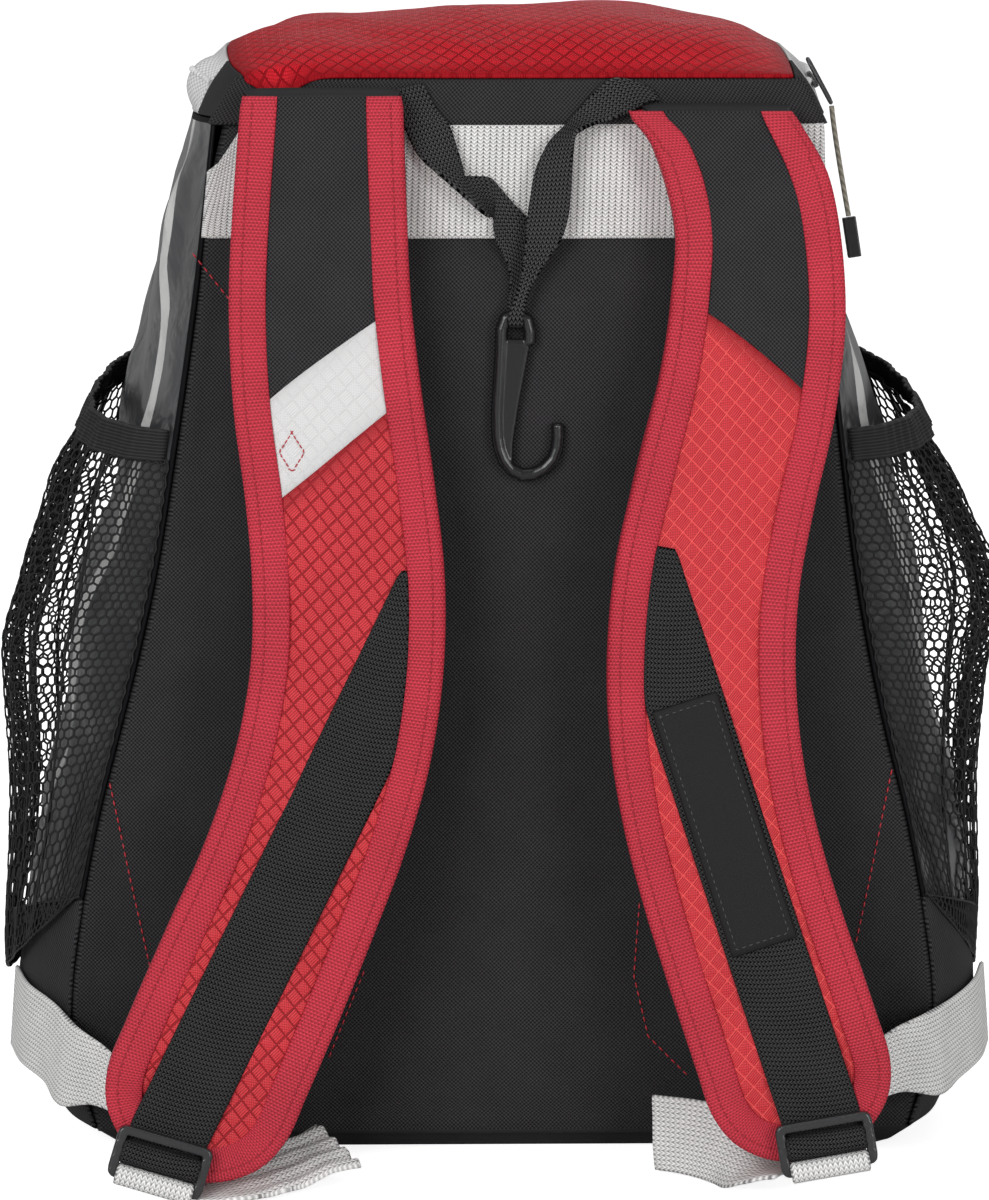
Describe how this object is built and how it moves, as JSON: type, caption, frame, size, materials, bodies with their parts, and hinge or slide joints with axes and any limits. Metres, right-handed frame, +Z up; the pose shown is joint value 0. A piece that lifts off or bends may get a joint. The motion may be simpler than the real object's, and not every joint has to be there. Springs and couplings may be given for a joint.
{
  "type": "youth baseball backpack",
  "caption": "Standing backpack for baseball kit: padded harness side with shoulder straps, domed zip lid, mesh side pockets and a swinging fence hook.",
  "frame": {"origin": "centre of the flat base, where the bag stands", "axes": "+Z up; the harness with the shoulder straps faces -Y; +X is to the right of someone looking at the harness"},
  "size_m": [0.3546, 0.2637, 0.397],
  "materials": {
    "black_cloth": "coarse plain-weave cloth",
    "red_ripstop": "diamond ripstop with a slight sheen",
    "white_ripstop": "diamond ripstop",
    "red_binding": "ribbed grosgrain tape",
    "coated_grey": "smooth coated cloth",
    "grey_webbing": "knitted flat webbing",
    "black_webbing": "woven flat webbing",
    "black_net": "knitted net and ribbed elastic",
    "zip_grey": "woven zip tape with coil",
    "label_black": "woven label",
    "plastic_dark": "moulded, semi-gloss",
    "zip_steel": "plated",
    "cord_beige": "braided"
  },
  "bodies": {
    "bag": {"back_panel": "black_cloth", "bottom_panel": "black_cloth", "lid": "red_ripstop", "front_panel_left": "red_ripstop", "front_panel_middle": "red_ripstop", "front_panel_right": "red_ripstop", "top_band": "black_cloth", "top_webbing": "grey_webbing", "zipper_tape": "zip_grey", "label_patch": "label_black", "haul_loop": "black_webbing", "zip_slider": "zip_steel", "zip_pull_bail": "zip_steel", "zip_pull_cord": "cord_beige", "zip_pull_end": "plastic_dark", "strap_face_number_left": "white_ripstop", "side_gusset_left": "black_cloth", "side_panel_left": "coated_grey", "zip_tab_left": "black_cloth", "mesh_pocket_left": "black_net", "pocket_elastic_left": "black_net", "strap_pad_left": "black_cloth", "strap_face_upper_left": "black_cloth", "strap_face_lower_left": "red_ripstop", "strap_binding_left": "red_binding", "strap_webbing_left": "black_webbing", "buckle_left": "plastic_dark", "anchor_webbing_left": "grey_webbing", "webbing_tail_left": "grey_webbing", "side_gusset_right": "black_cloth", "side_panel_right": "coated_grey", "zip_tab_right": "black_cloth", "mesh_pocket_right": "black_net", "pocket_elastic_right": "black_net", "strap_pad_right": "black_cloth", "strap_face_upper_right": "black_cloth", "strap_face_lower_right": "red_ripstop", "strap_binding_right": "red_binding", "strap_webbing_right": "black_webbing", "buckle_right": "plastic_dark", "anchor_webbing_right": "grey_webbing", "webbing_tail_right": "grey_webbing"},
    "hook": {"fence_hook": "plastic_dark"}
  },
  "joints": [
    {"name": "hook_swing", "type": "hinge", "parent": "bag", "child": "hook", "pos_m": [0.004, -0.0995, 0.2928], "axis": [-1, 0, 0], "range_deg": [0, 110]}
  ]
}
